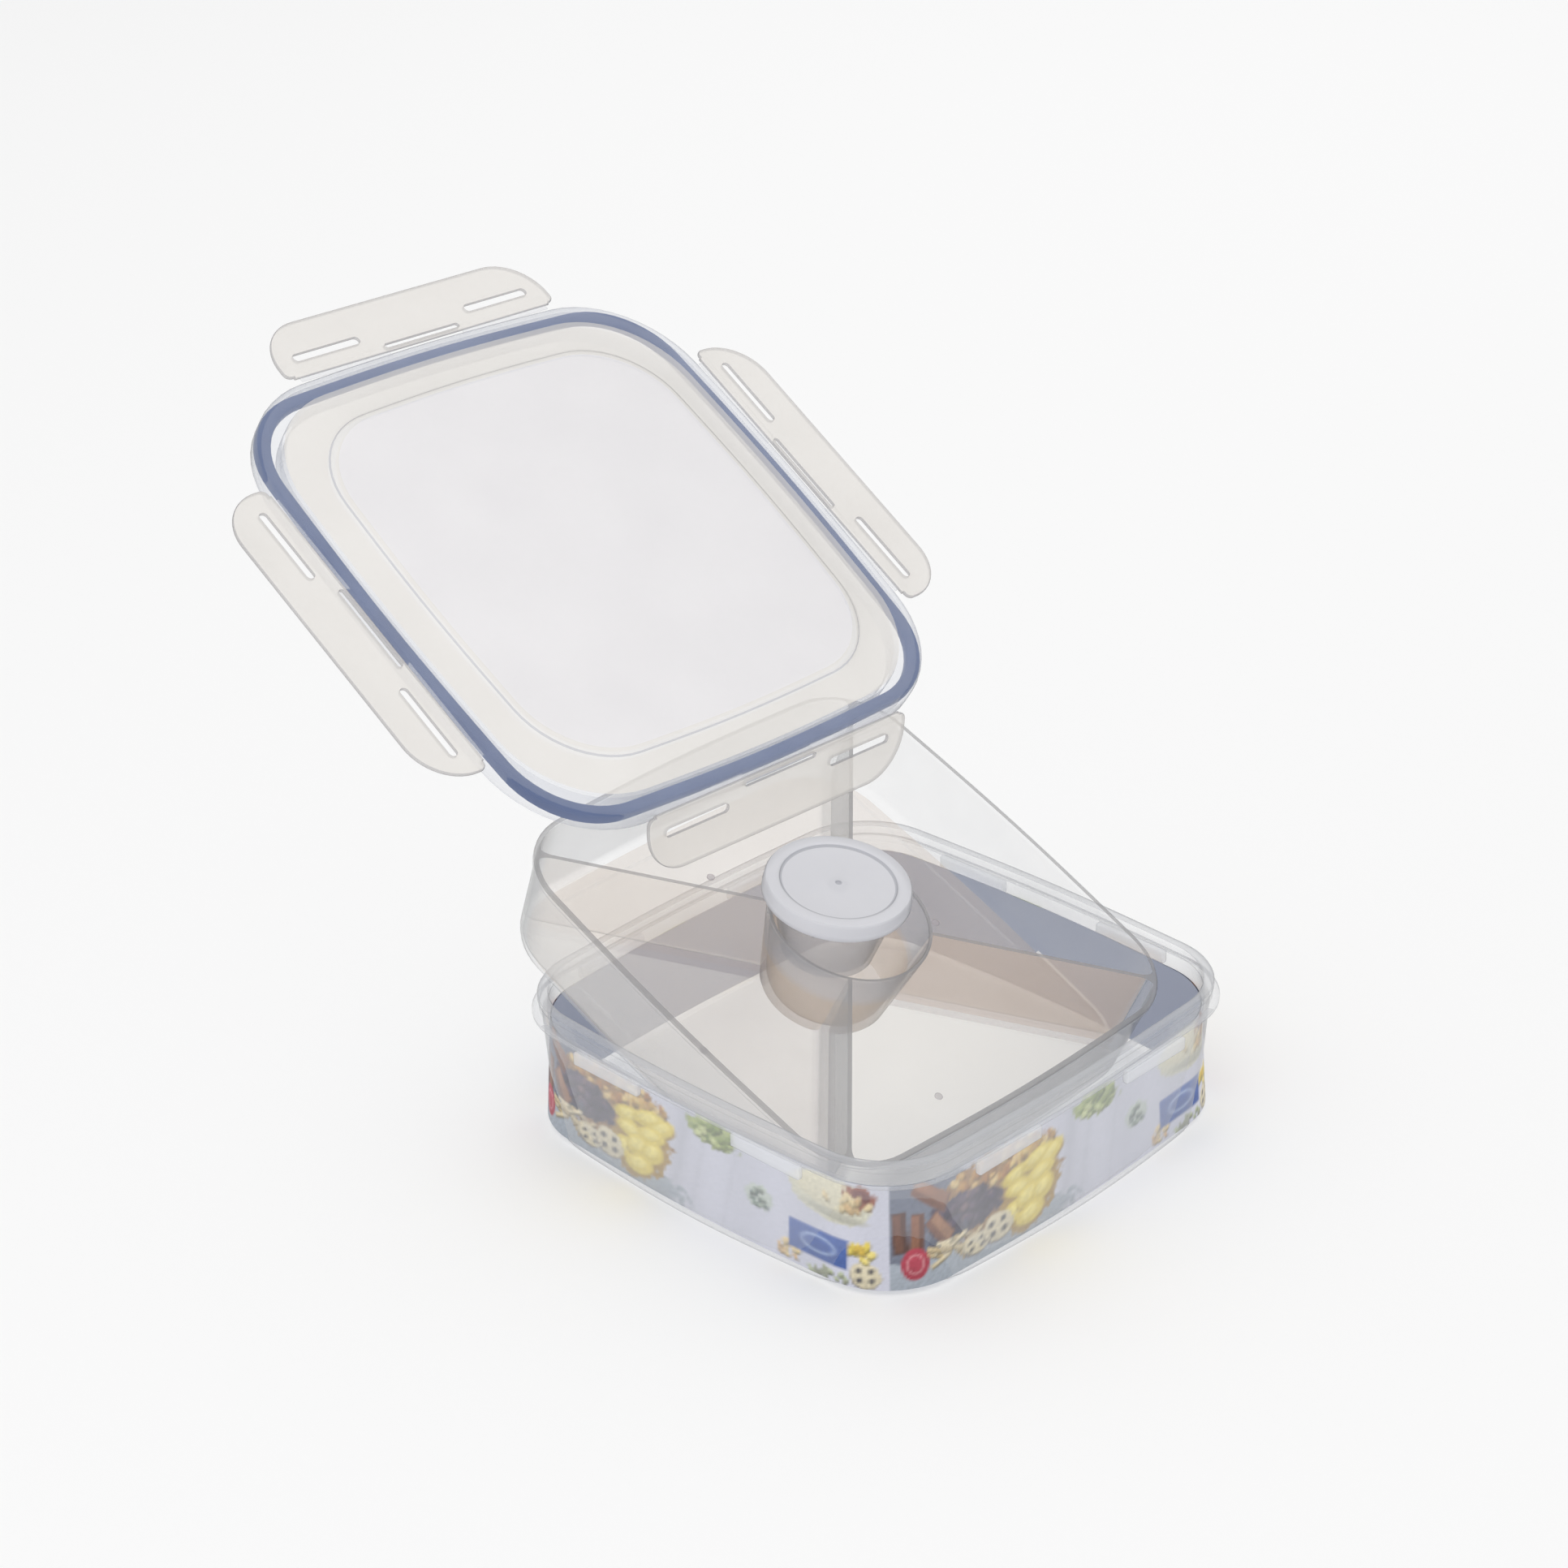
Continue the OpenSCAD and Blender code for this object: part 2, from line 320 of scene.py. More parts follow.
# Painted shade: a darker grey copy of the box plastic on the lip top and flange draws the lines light makes in the
# thick rim.
box_edge_shade = clear_plastic("box_polypropylene_edge_shade", (196, 198, 202), 0.4, 0.95, 0.15)
finish_mesh(box)
lets_light_through(box)
box.data.materials.append(box_plastic)
edge_faces(box, box_edge_shade, lambda f: f.center.z > 64.4 * MM or 55.1 * MM < f.center.z < 58 * MM and max(
    abs(f.center.x), abs(f.center.y)) > 117 * MM and abs(f.normal.z) > 0.3)
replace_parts(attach(box, "container"), "container_body")
finish_mesh(box_lugs)
lets_light_through(box_lugs)
box_lugs.data.materials.append(clear_plastic("lug_polypropylene", (238, 240, 244), 0.42, 0.7, 0.2))
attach(box_lugs, "container")

# ---- Printed card sleeve ----------------------------------------------------
# A strip of printed card that lines the inside of the box wall, so that it reads through the plastic.
# One picture of snacks on a cloth is printed four times, once for each side; the back is plain.

card_low, card_high = 2.8, 52.5
sleeve_foot_half, sleeve_top_half = 119.2, 116.6
print_rows = 60
CLOTH = tint(205, 206, 219)
OVAL, BAR = "oval", "bar"

# Each patch of the print: shape, middle, half size, turn, colour and unevenness. Later ones lie on top.
patches = [
    (OVAL, (16, 30), (34, 34), 0, (116, 122, 138), 0.2),
    (OVAL, (50, 4), (70, 11), 0, (160, 168, 178), 0.2),
    (OVAL, (66, 30), (42, 19), 0, (158, 124, 84), 0.2),
    (OVAL, (86, 18), (22, 15), 20, (170, 138, 66), 0.2),
]
dice = random.Random(11)


def scatter(count, middle, spread, size, tones, shape=OVAL, turns=(-70, 70)):
    """Heaps small snacks of a few tones inside an oval, each over its own shadow."""
    for _ in range(count):
        reach, way = dice.random() ** 0.5, dice.uniform(0, math.tau)
        u, v = middle[0] + spread[0] * reach * math.cos(way), middle[1] + spread[1] * reach * math.sin(way)
        grow, turn, tone = dice.uniform(0.75, 1.25), dice.uniform(*turns), dice.choice(tones)
        half = (size[0] * grow, size[1] * grow)
        patches.append((shape, (u + 0.5, v - 0.8), half, turn, tuple(c * 0.6 for c in tone), 0.1))
        patches.append((shape, (u, v), half, turn, tone, 0.15))


scatter(70, (66, 41), (36, 7), (2.6, 1.8), [(216, 178, 112), (196, 150, 84), (228, 200, 140), (176, 126, 74)])
scatter(22, (92, 37), (18, 5), (2.4, 1.7), [(206, 168, 92), (186, 146, 78), (226, 196, 120)])
patches.append((OVAL, (44, 27), (25, 10), -4, (72, 64, 84), 0.2))
scatter(40, (46, 28), (20, 8), (3.0, 2.0), [(98, 82, 102), (82, 72, 96), (124, 100, 108), (66, 58, 78)])
scatter(12, (38, 20), (16, 4), (3.0, 1.6), [(88, 94, 112), (70, 74, 92)])
patches += [
    (BAR, (5, 27), (4.4, 10), 4, (92, 66, 60), 0),
    (BAR, (3.8, 27), (2.4, 9), 4, (116, 80, 66), 0),
    (BAR, (15, 26), (4.2, 9.5), -4, (108, 72, 58), 0),
    (BAR, (13.8, 26), (2.4, 8.6), -4, (142, 98, 76), 0),
    (BAR, (24, 42.5), (12, 4.6), -32, (124, 84, 68), 0),
    (BAR, (24.6, 44), (11, 2.6), -32, (160, 116, 92), 0),
    (BAR, (29, 25), (9, 4.6), -52, (124, 86, 70), 0),
    (BAR, (30.4, 25.8), (8, 2.6), -52, (160, 120, 94), 0),
]
for middle, half, turn in (
    ((80, 31), (12, 4.6), 4), ((92, 34), (12, 4.4), 14), ((101, 32), (10, 4.2), 28), ((80, 24), (10, 4.4), -6),
    ((94, 26), (10, 4.6), 10), ((76, 14), (8, 5.4), 10), ((85, 18), (9, 5.6), 14), ((95, 18), (8, 5.6), 24),
    ((86, 9), (10, 5), 10),
):
    patches += [
        (OVAL, (middle[0] + 0.8, middle[1] - 1.4), half, turn, (166, 134, 52), 0.1),
        (OVAL, middle, half, turn, (224, 202, 84), 0.1),
        (OVAL, (middle[0] - 0.6, middle[1] + 0.6), (half[0] * 0.62, half[1] * 0.55), turn, (238, 222, 124), 0.1),
    ]
scatter(13, (38, 14), (15, 5), (6.5, 1.0), [(214, 200, 166), (196, 178, 142), (226, 214, 184)], BAR, (-60, 50))
for middle, half in (((51, 9), (9, 5)), ((65, 11.5), (10, 7)), ((226, 6.5), (9, 6.5))):
    patches.append((OVAL, (middle[0], middle[1] - 0.8), half, 0, (120, 112, 104), 0.1))
    patches.append((OVAL, middle, half, -6, (214, 204, 176), 0.1))
    for du, dv in ((-0.42, 0.3), (0.35, 0.35), (-0.36, -0.4), (0.4, -0.36)):
        hole = (middle[0] + du * half[0], middle[1] + dv * half[1])
        patches.append((OVAL, hole, (half[0] * 0.24, half[1] * 0.24), 20, (92, 90, 92), 0))
patches += [
    (OVAL, (13.5, 11.5), (8.4, 8), 0, (168, 58, 76), 0),
    (OVAL, (13.5, 11.5), (5.4, 5.1), 0, (208, 142, 148), 0),
    (OVAL, (13.5, 11.5), (4.6, 4.3), 0, (172, 62, 80), 0),
    (OVAL, (134, 44), (16, 7), -4, (160, 172, 112), 0.4),
    (OVAL, (163, 24), (9, 6), 0, (190, 198, 190), 0.3),
    (OVAL, (205, 39), (25, 11), -3, (214, 212, 192), 0.1),
    (OVAL, (205, 41), (21, 8), -3, (222, 216, 190), 0.1),
    (OVAL, (208, 32), (20, 2.4), -3, (182, 180, 164), 0.1),
    (OVAL, (222, 43), (10, 6), -6, (150, 90, 70), 0.3),
    (OVAL, (223, 44), (6, 3.4), -6, (112, 52, 46), 0.2),
]
scatter(34, (134, 44), (14, 5), (2.6, 1.6), [(176, 188, 120), (140, 158, 88), (200, 208, 150), (120, 140, 80)])
scatter(20, (164, 24), (6, 4.4), (1.6, 1.1), [(128, 146, 132), (164, 176, 160), (108, 126, 118)])
scatter(12, (212, 39), (16, 4), (3.0, 1.6), [(226, 206, 160), (206, 176, 130)])
scatter(12, (180, 6), (7, 4), (2.4, 1.6), [(222, 186, 132), (230, 206, 150)])
scatter(14, (204, 2), (13, 3), (2.2, 1.4), [(176, 184, 150), (206, 200, 170), (150, 154, 130)])
scatter(12, (223, 17), (8, 4), (2.8, 1.8), [(222, 200, 92), (206, 176, 76), (236, 218, 130)])
patches += [
    (BAR, (198.5, 14.6), (17.4, 7.2), 0, (70, 98, 164), 0),
    (OVAL, (198.5, 14.6), (11, 4.6), 0, (150, 170, 208), 0),
    (OVAL, (198.5, 14.6), (9.6, 3.4), 0, (70, 98, 164), 0),
]
paints = [tint(*patch[4]) for patch in patches]


def patch_share(u, v, shape, middle, half, turn, rough):
    """How much of a patch shows at a point, from 0 outside it to 1 inside, and how near its upper edge that is."""
    du, dv = u - middle[0], v - middle[1]
    c, s = math.cos(math.radians(turn)), math.sin(math.radians(turn))
    along, across = (du * c + dv * s) / half[0], (dv * c - du * s) / half[1]
    if shape == BAR:
        inside = min((1 - abs(along)) * half[0], (1 - abs(across)) * half[1]) * 0.9 + 0.4
    else:
        wobble = rough * noise.noise(Vector((u * 0.3, v * 0.3, middle[0])))
        inside = (1 - math.hypot(along, across) + wobble) * min(half) * 0.9 + 0.25
    return min(1, max(0, inside)), dv / half[1]


def print_colour(u, v):
    """Colour of the print at a distance along a side and a height above the card's foot, in millimetres."""
    crease = u - v * 0.2
    fold = 0.03 * math.sin(u * 0.16 + 2) + 0.1 * math.exp(-((crease - 108) / 4) ** 2)
    fold += 0.07 * math.exp(-((crease - 121) / 2) ** 2) + 0.06 * math.exp(-((crease - 141) / 1.5) ** 2)
    grain = 1 + 0.07 * noise.noise(Vector((u * 0.9, v * 0.9, 0)))
    colour = [c * (1 - fold) for c in CLOTH]
    for (shape, middle, half, turn, _, rough), paint in zip(patches, paints):
        if abs(u - middle[0]) > 1.3 * max(half) + 1 or abs(v - middle[1]) > 1.3 * max(half) + 1:
            continue
        share, upper = patch_share(u, v, shape, middle, half, turn, rough)
        if share > 0:
            lit = 1 + 0.12 * max(-1, min(1, upper)) + 0.18 * noise.noise(Vector((u * 0.6, v * 0.6, middle[1])))
            colour = [a + (b * lit - a) * share for a, b in zip(colour, paint)]
    return [c * grain for c in colour]


card_print = bowed_square("card_print", sleeve_foot_half * MM, RIM_SHAPE[0] * MM, 0.13, 48, 210)
bpy.ops.mesh.delete(type="ONLY_FACE")
bpy.ops.mesh.select_all(action="SELECT")
lift(card_low)
rings([
    (sleeve_foot_half + (sleeve_top_half - sleeve_foot_half) * row / print_rows,
     card_low + (card_high - card_low) * row / print_rows)
    for row in range(print_rows + 1)
])
bpy.ops.mesh.select_all(action="SELECT")
bpy.ops.mesh.normals_make_consistent(inside=False)
bpy.ops.object.mode_set(mode="OBJECT")
bpy.ops.object.shade_smooth()

straight_half, corner_arc, side_half = 83, 37, 112


def along_side(point):
    """Distance along its side of a point on the sleeve, from the corner where that side's print starts."""
    quarter = round((math.degrees(math.atan2(point.y, point.x)) + 90) / 90)
    facing = Matrix.Rotation(math.radians(-90 * quarter), 3, "Z") @ point / MM
    across = min(abs(facing.x), straight_half)
    if abs(facing.x) > straight_half:
        across += corner_arc * math.atan2(abs(facing.x) - straight_half, -facing.y - straight_half)
    return 120 + 120 / side_half * math.copysign(across, facing.x)


ink = card_print.data.color_attributes.new("ink", "FLOAT_COLOR", "POINT")
known_colours = {}
for vertex, dab in zip(card_print.data.vertices, ink.data):
    spot = (round(along_side(vertex.co), 1), round(vertex.co.z / MM - card_low, 1))
    if spot not in known_colours:
        known_colours[spot] = print_colour(*spot)
    dab.color = (*known_colours[spot], 1)

card_ink, ink_shader = shader_of("printed_card")
ink_nodes, ink_links = card_ink.node_tree.nodes, card_ink.node_tree.links
ink_colour = ink_nodes.new("ShaderNodeVertexColor")
ink_colour.layer_name = "ink"
fibre = ink_nodes.new("ShaderNodeTexNoise")
fibre.inputs["Scale"].default_value = 900
fibre_place = ink_nodes.new("ShaderNodeTexCoord")
fibre_bump = ink_nodes.new("ShaderNodeBump")
fibre_bump.inputs["Strength"].default_value = 0.15
fibre_bump.inputs["Distance"].default_value = 0.0002
ink_links.new(fibre_place.outputs["Object"], fibre.inputs["Vector"])
ink_links.new(fibre.outputs["Fac"], fibre_bump.inputs["Height"])
ink_links.new(fibre_bump.outputs["Normal"], ink_shader.inputs["Normal"])
ink_links.new(ink_colour.outputs["Color"], ink_shader.inputs["Base Color"])
ink_shader.inputs["Roughness"].default_value = 0.45
card_print.data.materials.append(card_ink)
card_print.visible_shadow = False
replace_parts(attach(card_print, "container"), "card_sleeve")

card_back = drawn("card_back", RIM_SHAPE[0], 0.13, [
    (sleeve_foot_half - 0.4, card_low), (sleeve_top_half - 0.4, card_high)], "band")
back_board, back_shader = shader_of("card_back_board")
back_nodes, back_links = back_board.node_tree.nodes, back_board.node_tree.links
back_cloud = back_nodes.new("ShaderNodeTexNoise")
back_cloud.inputs["Scale"].default_value = 12
back_place = back_nodes.new("ShaderNodeTexCoord")
back_ramp = back_nodes.new("ShaderNodeValToRGB")
back_ramp.color_ramp.elements[0].color = (*tint(148, 154, 172), 1)
back_ramp.color_ramp.elements[1].color = (*tint(170, 175, 190), 1)
back_links.new(back_place.outputs["Object"], back_cloud.inputs["Vector"])
back_links.new(back_cloud.outputs["Fac"], back_ramp.inputs["Fac"])
back_links.new(back_ramp.outputs["Color"], back_shader.inputs["Base Color"])
back_shader.inputs["Roughness"].default_value = 0.6
card_back.data.materials.append(back_board)
bpy.ops.object.mode_set(mode="EDIT")
bpy.ops.mesh.select_all(action="SELECT")
bpy.ops.mesh.normals_make_consistent(inside=True)
bpy.ops.object.mode_set(mode="OBJECT")
bpy.ops.object.shade_smooth()
card_back.visible_shadow = False
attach(card_back, "container")

# ---- Divider tray -----------------------------------------------------------
# A lift-out clear moulding, square like the box, with four snack pockets round a deep round well.
# Thin walls run from the well to the corners; it stands tilted, as a hand lifts it out.

tray_place = Matrix.Translation((0, 15 * MM, 92 * MM)) @ Matrix.Rotation(math.radians(22.8), 4, "X")
tray_depth = 47
TRAY_SHAPE = (34, 0.09)


def apply_boolean(piece, cutter, operation):
    """Cuts a piece with another, or adds the other to it, and removes the other."""
    cut = piece.modifiers.new("cut", "BOOLEAN")
    cut.operation, cut.solver, cut.object = operation, "EXACT", cutter
    bpy.ops.object.select_all(action="DESELECT")
    bpy.context.view_layer.objects.active = piece
    piece.select_set(True)
    bpy.ops.object.modifier_apply(modifier=cut.name)
    bpy.data.objects.remove(cutter)


def turned(name, profile, steps=96):
    """A round moulding drawn through a profile of radii and levels, closed at both ends."""
    bpy.ops.mesh.primitive_circle_add(vertices=steps, radius=profile[0][0] * MM, fill_type="NGON")
    piece = edit_new(name)
    lift(profile[0][1])
    rings(profile)
    bpy.ops.object.mode_set(mode="OBJECT")
    finish_mesh(piece)
    return piece


tray = drawn("divider_tray", *TRAY_SHAPE, [
    (108.5, -47), (110.2, -46.6), (111.2, -45.4), (111.6, -43.5), (113.4, -3.4), (114, -3.1),
    (114.5, -2.6), (114.5, -0.7), (114, -0.1), (113.4, 0),
])
finish_mesh(tray)

pockets = []
for quarter in range(4):
    pocket = bowed_square("pocket", 111.9 * MM, TRAY_SHAPE[0] * MM - 2 * MM, TRAY_SHAPE[1])
    for way in (-1, 1):
        bpy.ops.mesh.select_all(action="SELECT")
        bpy.ops.mesh.bisect(plane_co=(0, -1.25 * MM, 0), plane_no=(way, 1, 0), clear_outer=True)
    by_reach = sorted(
        bmesh.from_edit_mesh(pocket.data).verts,
        key=lambda v: v.link_edges[0].calc_length() + v.link_edges[1].calc_length(),
    )
    corners = [v.co.copy() for v in by_reach[-3:]]
    select_where("verts", lambda v: any((v.co - c).length < 0.01 * MM for c in corners))
    bpy.ops.mesh.bevel(offset=7 * MM, offset_pct=0, segments=6, affect="VERTICES")
    bpy.ops.mesh.select_all(action="SELECT")
    lift(3)
    bpy.ops.mesh.extrude_region_move(TRANSFORM_OT_translate={"value": (0, 0, -(tray_depth + 1.5) * MM)})
    bpy.ops.transform.resize(value=(0.975, 0.975, 1), center_override=(0, -74 * MM, 0))
    bpy.ops.mesh.bevel(offset=4 * MM, offset_pct=0, segments=4, affect="EDGES")
    bpy.ops.object.mode_set(mode="OBJECT")
    pocket.data.transform(Matrix.Rotation(math.radians(90 * quarter), 4, "Z"))
    finish_mesh(pocket)
    pockets.append(pocket)
pocket_cutter = join(pockets, "pocket_cutter")
well_outside = turned("well_outside", [(28.5, -60), (28.5, -47), (30, -44), (34.5, -20), (38, -1), (38, 6)])
apply_boolean(pocket_cutter, well_outside, "DIFFERENCE")
well_inside = turned("well_inside", [
    (20, -45.3), (24, -44.8), (26.6, -43), (28, -40), (32.3, -20), (36.4, -0.6), (36.8, 0), (37, 5),
])
apply_boolean(tray, pocket_cutter, "DIFFERENCE")
apply_boolean(tray, well_inside, "DIFFERENCE")
finish_mesh(tray, 32, 0.02)
lets_light_through(tray)
tray.data.materials.append(clear_plastic("tray_polypropylene", (220, 221, 222), 0.06, 0.85, 0.14))
# Painted shade: the top faces of the tray's rim are dark grey, drawing the rim's edge lines.
edge_faces(tray, clear_plastic("tray_polypropylene_edge_shade", (146, 145, 146), 0.6, 0.95, 0.2),
           lambda f: f.center.z > -0.9 * MM and f.normal.z > 0.2)
# Painted light: the floors of the near and left pockets are pale and partly opaque, standing in for the lit table
# seen through them; the near one more strongly.
edge_faces(tray, clear_plastic("tray_polypropylene_floor_light", (250, 248, 243), 0.72, 0.8, 0.3),
           lambda f: f.center.z < -44.5 * MM and f.normal.z > 0.9 and f.center.y < -40 * MM)
edge_faces(tray, clear_plastic("tray_polypropylene_side_floor_light", (250, 248, 243), 0.22, 0.5, 0.3),
           lambda f: f.center.z < -44.5 * MM and f.normal.z > 0.9 and f.center.x < -40 * MM)
# Painted shade: the diagonal walls get a warm beige tint, stronger on the near wall than on the far one.
edge_faces(tray, clear_plastic("tray_polypropylene_wall_shade", (224, 204, 186), 0.4, 0.7, 0.2), lambda f: (
    f.normal.x * f.normal.y > 0.4 and abs(f.center.x + f.center.y) < 6 * MM and f.center.x > 0))
edge_faces(tray, clear_plastic("tray_polypropylene_far_wall_shade", (226, 210, 194), 0.1, 0.7, 0.2), lambda f: (
    f.normal.x * f.normal.y > 0.4 and abs(f.center.x + f.center.y) < 6 * MM and f.center.x < 0))
# Painted shade: the lower well is tinted warm beige and its upper wall grey, as the layered plastic looks in shade
# there.
edge_faces(tray, clear_plastic("tray_polypropylene_well", (212, 192, 172), 0.3, 0.95, 0.12),
           lambda f: math.hypot(f.center.x, f.center.y) < 39 * MM and f.center.z < -20 * MM)
edge_faces(tray, clear_plastic("tray_polypropylene_well_top", (188, 188, 192), 0.16, 0.95, 0.12),
           lambda f: math.hypot(f.center.x, f.center.y) < 39 * MM and -20 * MM < f.center.z < -0.9 * MM)
gate_reach = 76
gate_plastic = clear_plastic("tray_polypropylene_gate", (172, 164, 168), 0.4, 0.8, 0.25)
for quarter in range(4):
    nub = turned("gate_nub", [(1.9, -45.8), (1.9, -45.2), (1.6, -44.9), (0.5, -44.85)], 24)
    nub.data.transform(
        Matrix.Rotation(math.radians(90 * quarter), 4, "Z") @ Matrix.Translation((gate_reach * MM, 0, 0)))
    nub.data.materials.append(gate_plastic)
    tray = join([tray, nub], "divider_tray")
tray.data.transform(tray_place)
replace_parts(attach(tray, "tray"), "divider_tray")

# ---- Dip cup ----------------------------------------------------------------
# A small cup for a dip, moulded in one piece of smoky clear plastic with a flat rim.
# It tapers so that it drops into the tray's well; here it leans, as a hand draws it out.

cup_place = Matrix.Translation((-8 * MM, 22.3 * MM, 76.1 * MM)) @ Matrix.Rotation(math.radians(12), 4, "X")
cup = turned("dip_cup", [
    (19, 0), (20.4, 0.4), (21, 1.4), (29, 34), (30.2, 34.1), (30.6, 34.5), (30.6, 35.6), (30.2, 36),
    (28.2, 36), (27.6, 35.5), (27.4, 34), (20, 3.4), (19, 2.1), (17, 1.6),
])
lets_light_through(cup)
cup.data.materials.append(clear_plastic("smoky_plastic", (184, 182, 184), 0.16, 0.9, 0.1))
cup.data.transform(cup_place)
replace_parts(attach(cup, "cup"), "dip_cup")

# ---- Dip cup lid ------------------------------------------------------------
# A soft frosted disc, turned to a sunk centre with the mark of its moulding gate.
# Its short skirt presses over the cup's rim.

cup_lid = turned("dip_cup_lid", [
    (0.9, 37.5), (1, 37.9), (1.6, 37.8), (25.2, 37.8), (25.9, 37.9), (26.4, 38.6), (27, 39), (28, 39.1), (31, 39.1),
    (32.3, 38.7), (33, 37.6), (33, 34.4), (33.4, 33.6), (33.4, 31.4), (33, 30.6), (32, 30.4), (31.1, 30.6),
    (31, 36.3), (27, 36.4), (5, 36.4),
])
lets_light_through(cup_lid)
cup_lid.data.materials.append(clear_plastic("frosted_plastic", (224, 224, 229), 0.8, 1.0, 0.42, 0.1))
# Painted shade: a darker ring in the step where the sunk centre rises to the rim; the gate mark in the middle takes
# the same darker colour.
edge_faces(cup_lid, clear_plastic("frosted_plastic_edge", (184, 185, 192), 0.85, 1.0, 0.35),
           lambda f: 25.3 * MM < math.hypot(f.center.x, f.center.y) < 26.6 * MM and f.center.z > 37.7 * MM
           or math.hypot(f.center.x, f.center.y) < 1.5 * MM)
cup_lid.data.transform(cup_place)
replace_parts(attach(cup_lid, "cup_lid"), "dip_cup_lid")

# ---- Lid --------------------------------------------------------------------
# A frosted clear polypropylene plate with a raised centre, lifted off and leaning behind the box.
# It is one moulding with the skirt round its edge and the rib inside that.

lid_place = Matrix.Translation((-86 * MM, 75 * MM, 283 * MM)) @ (
    Matrix.Rotation(math.radians(0.8), 4, "Z")
    @ Matrix.Rotation(math.radians(3.3), 4, "Y")
    @ Matrix.Rotation(math.radians(31.4), 4, "X")
)
LID_SHAPE = (38, 0.1)
lid = drawn("lid_panel", *LID_SHAPE, [
    (94, 2), (95.6, 1.8), (96.6, 1.2), (97.2, 0.5), (98.4, 0.1), (112.6, 0.06), (119, 0), (120.8, -0.3),
    (121.7, -1.2), (122, -2.6), (122, -9.2), (121.6, -9.9), (120.8, -10), (120.2, -9.6), (120, -2.2),
    (113, -2), (112.9, -10.4), (112.5, -11),
    (111.9, -11), (111.5, -10.4), (111.4, -2), (97, -1.8), (95.8, -1), (94.6, 0.1),
])
finish_mesh(lid)
lets_light_through(lid)
lid.data.materials.append(clear_plastic("lid_polypropylene", (236, 232, 227), 0.5, 0.85, 0.3))
# Painted light: the rim and skirt are tinted blue, standing in for the gasket's colour scattered through the
# plastic.
edge_faces(lid, clear_plastic("lid_polypropylene_rim_blue_light", (208, 213, 226), 0.1, 0.7, 0.35), lambda f: (
    f.center.z < 0.05 * MM and not (abs(f.normal.z) > 0.9 and -1.98 * MM < f.center.z < -MM)))
edge_faces(lid, clear_plastic("lid_polypropylene_centre", (238, 236, 241), 0.55, 0.85, 0.3),
           lambda f: f.center.z > 1.95 * MM and f.normal.z > 0.99)
# Painted shade: the sloping side of the raised centre is darker grey, drawing its outline.
edge_faces(lid, clear_plastic("lid_polypropylene_slope_shade", (176, 176, 182), 0.5, 0.8, 0.25),
           lambda f: 0.15 * MM < f.center.z < 1.3 * MM and f.normal.z < 0.9)
lid.data.transform(lid_place)
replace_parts(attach(lid, "lid"), "lid_panel")

# ---- Gasket -----------------------------------------------------------------
# A ring of soft blue silicone with two lips, moulded as one band.
# It is pressed into the groove between the lid's skirt and its rib.

gasket = drawn("lid_gasket", *LID_SHAPE, [
    (118.9, -6.4), (118.9, -3.4), (118.5, -2.5), (117.6, -2.2), (114.6, -2.2), (113.9, -2.6), (113.6, -3.4),
    (113.6, -5.6), (114, -6.4), (115, -6.8), (116.2, -6.4), (117, -7.2), (118.2, -7.2), (118.9, -6.4),
], "band")
finish_mesh(gasket)
silicone, silicone_shader = shader_of("blue_silicone")
silicone_nodes, silicone_links = silicone.node_tree.nodes, silicone.node_tree.links
silicone_place = silicone_nodes.new("ShaderNodeTexCoord")
silicone_cloud = silicone_nodes.new("ShaderNodeTexNoise")
silicone_cloud.inputs["Scale"].default_value = 40
silicone_ramp = silicone_nodes.new("ShaderNodeValToRGB")
silicone_ramp.color_ramp.elements[0].color = (*tint(48, 70, 116), 1)
silicone_ramp.color_ramp.elements[1].color = (*tint(76, 98, 144), 1)
silicone_links.new(silicone_place.outputs["Object"], silicone_cloud.inputs["Vector"])
silicone_links.new(silicone_cloud.outputs["Fac"], silicone_ramp.inputs["Fac"])
silicone_links.new(silicone_ramp.outputs["Color"], silicone_shader.inputs["Base Color"])
silicone_shader.inputs["Roughness"].default_value = 0.4
gasket.data.materials.append(silicone)
gasket.data.transform(lid_place)
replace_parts(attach(gasket, "lid"), "lid_gasket")

# ---- Locking wings ----------------------------------------------------------
# Four flaps moulded with the lid, each on a thin film of plastic that bends as a hinge.
# Two slots in each wing snap over the lugs under the flange; a third, thinner one eases the film.

wing_length, wing_width, wing_thickness = 152, 27, 2
tip_round, root_round, rim_width, rim_drop = 22, 3, 1.6, 0.35
slot_offset, slot_back, slot_size = 48, 9, (36, 4)
film_slot_back, film_slot_size = 2, (42, 2.6)
lid_half, film_gap = 122, 1.6
wing_plastic = clear_plastic("wing_polypropylene", (234, 229, 223), 0.42, 0.85, 0.3)
# Painted shade: the wing's side faces and slot walls are darker grey, drawing its outlines.
wing_edge_shade = clear_plastic("wing_polypropylene_edge_shade", (170, 168, 170), 0.55, 0.9, 0.3)
film_plastic = clear_plastic("film_polypropylene", (226, 227, 232), 0.2, 0.6, 0.25)


def slot_cutter(centre, size):
    """A long rounded peg that cuts one slot."""
    bpy.ops.mesh.primitive_cube_add(size=1)
    peg = edit_new("slot_peg")
    bpy.ops.transform.resize(value=(size[0] * MM, size[1] * MM, 20 * MM))
    select_where("edges", lambda e: abs(e.verts[0].co.z - e.verts[1].co.z) > 0.01)
    bpy.ops.mesh.bevel(offset=min(size) * 0.45 * MM, offset_pct=0, segments=4, affect="EDGES")
    bpy.ops.object.mode_set(mode="OBJECT")
    peg.data.transform(Matrix.Translation((centre[0] * MM, centre[1] * MM, 0)))
    return peg


